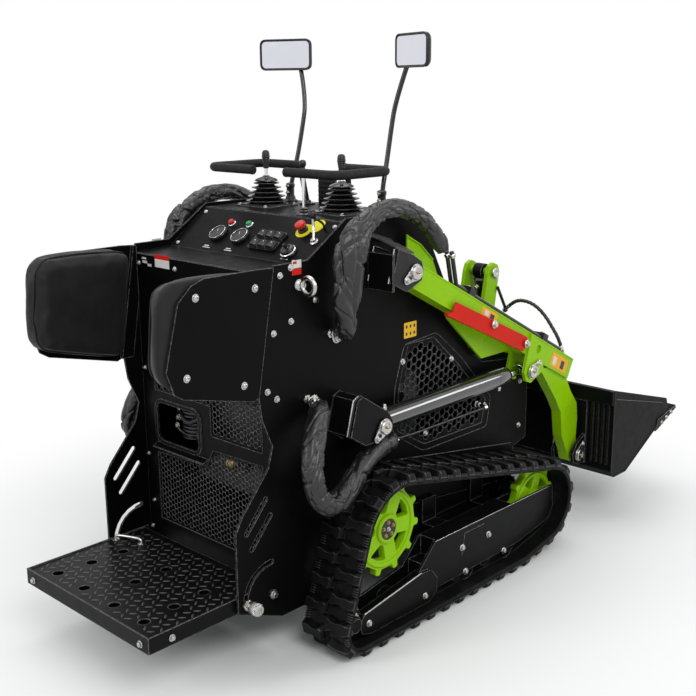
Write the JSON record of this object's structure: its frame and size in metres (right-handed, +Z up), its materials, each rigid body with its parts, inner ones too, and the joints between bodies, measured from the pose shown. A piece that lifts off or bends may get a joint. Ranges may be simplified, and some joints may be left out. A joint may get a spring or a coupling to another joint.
{
  "type": "mini skid steer loader",
  "caption": "Stand-on tracked loader with a lifting boom, tilting bucket, fold-up operator platform and hydraulic cylinders.",
  "frame": {"origin": "on the ground under the middle of the overall length, on the loader's centre plane", "axes": "+X forward towards the bucket, +Y to the operator's left, +Z up"},
  "size_m": [2.458, 1.06, 1.777],
  "materials": {
    "black_panel": "satin",
    "black_steel": "satin",
    "chrome_rod": "polished",
    "control_plastic": "matte",
    "control_rubber": "matte",
    "cylinder_black": "gloss",
    "engine_metal": "rough",
    "foam_grip": "matte",
    "green_paint": "gloss",
    "hose_rubber": "matte",
    "hose_sleeve": "matte",
    "mirror_face": "polished",
    "pad_vinyl": "satin",
    "pipe_steel": "gloss",
    "red_paint": "gloss",
    "track_rubber": "matte",
    "trim_plastic": "matte",
    "zinc_steel": "zinc plated"
  },
  "bodies": {
    "chassis": {"belly_pan": "black_steel", "boom_mount_left": "black_panel", "boom_mount_right": "black_panel", "console_controls": "control_plastic", "console_panel": "black_panel", "engine_block": "engine_metal", "front_idler_left": "green_paint", "front_idler_right": "green_paint", "front_panel": "black_panel", "hand_bars": "foam_grip", "hood": "black_panel", "hose_fittings": "zinc_steel", "joystick_left": "control_rubber", "joystick_right": "control_rubber", "lift_mount_left": "black_panel", "lift_mount_right": "black_panel", "lifting_eyes": "zinc_steel", "lower_hose_left": "hose_sleeve", "lower_hose_right": "hose_sleeve", "mirror_arm_left": "trim_plastic", "mirror_arm_right": "trim_plastic", "mirror_glass": "mirror_face", "pad_cushion_left": "pad_vinyl", "pad_cushion_right": "pad_vinyl", "pad_frame_left": "black_panel", "pad_frame_right": "black_panel", "rear_grille": "black_panel", "rear_panel": "black_panel", "rollers_left": "black_steel", "rollers_right": "black_steel", "side_grilles": "black_panel", "side_panel_left": "black_panel", "side_panel_right": "black_panel", "sprocket_left": "green_paint", "sprocket_right": "green_paint", "top_deck": "black_panel", "track_frame_left": "black_steel", "track_frame_right": "black_steel", "track_left": "track_rubber", "track_right": "track_rubber", "upper_hose_left": "hose_sleeve", "upper_hose_right": "hose_sleeve", "vent_flap": "black_panel"},
    "platform": {"platform": "black_steel", "platform_latch": "zinc_steel"},
    "boom": {"boom": "green_paint", "boom_tubes": "pipe_steel", "arm_lock": "red_paint", "tilt_hose": "hose_rubber"},
    "lift_barrel_left": {"lift_barrel_left": "cylinder_black"},
    "lift_barrel_right": {"lift_barrel_right": "cylinder_black"},
    "lift_rod_left": {"lift_rod_left": "chrome_rod"},
    "lift_rod_right": {"lift_rod_right": "chrome_rod"},
    "tilt_barrel": {"tilt_barrel": "cylinder_black"},
    "tilt_rod": {"tilt_rod": "chrome_rod"},
    "bucket": {"coupler": "black_steel", "bucket": "black_steel"}
  },
  "joints": [
    {"name": "boom_lift", "type": "hinge", "parent": "chassis", "child": "boom", "pos_m": [-0.297, 0, 1.087], "axis": [0, -1, 0], "range_deg": [0, 75], "deforming": ["upper_hose_left", "upper_hose_right"]},
    {"name": "bucket_tilt", "type": "hinge", "parent": "boom", "child": "bucket", "pos_m": [0.677, 0, 0.26], "axis": [0, 1, 0], "range_deg": [0, 125]},
    {"name": "platform_fold", "type": "hinge", "parent": "chassis", "child": "platform", "pos_m": [-0.807, 0, 0.203], "axis": [0, 1, 0], "range_deg": [0, 86]},
    {"name": "tilt_barrel_swing", "type": "hinge", "parent": "boom", "child": "tilt_barrel", "pos_m": [0.597, 0, 0.929], "axis": [0, -1, 0], "range_deg": [0, 7.05]},
    {"name": "tilt_rod_slide", "type": "slide", "parent": "tilt_barrel", "child": "tilt_rod", "axis": [0.165, 0, -0.9863], "range_m": [0, 0.26886]},
    {"name": "lift_barrel_left_swing", "type": "hinge", "parent": "chassis", "child": "lift_barrel_left", "pos_m": [-0.433, 0.37, 0.64], "axis": [0, -1, 0], "range_deg": [0, 52.17]},
    {"name": "lift_rod_left_slide", "type": "slide", "parent": "lift_barrel_left", "child": "lift_rod_left", "axis": [0.9999, 0, 0.014], "range_m": [0, 0.41948]},
    {"name": "lift_barrel_right_swing", "type": "hinge", "parent": "chassis", "child": "lift_barrel_right", "pos_m": [-0.433, -0.37, 0.64], "axis": [0, -1, 0], "range_deg": [0, 52.17]},
    {"name": "lift_rod_right_slide", "type": "slide", "parent": "lift_barrel_right", "child": "lift_rod_right", "axis": [0.9999, 0, 0.014], "range_m": [0, 0.41948]}
  ],
  "couplings": [
    {"joint": "tilt_barrel_swing", "follows": "bucket_tilt", "ratio": 0.056},
    {"joint": "tilt_rod_slide", "follows": "bucket_tilt", "m_per_rad": 0.12301},
    {"joint": "lift_barrel_left_swing", "follows": "boom_lift", "ratio": 0.69499},
    {"joint": "lift_rod_left_slide", "follows": "boom_lift", "m_per_rad": 0.32007},
    {"joint": "lift_barrel_right_swing", "follows": "boom_lift", "ratio": 0.69499},
    {"joint": "lift_rod_right_slide", "follows": "boom_lift", "m_per_rad": 0.32007}
  ]
}
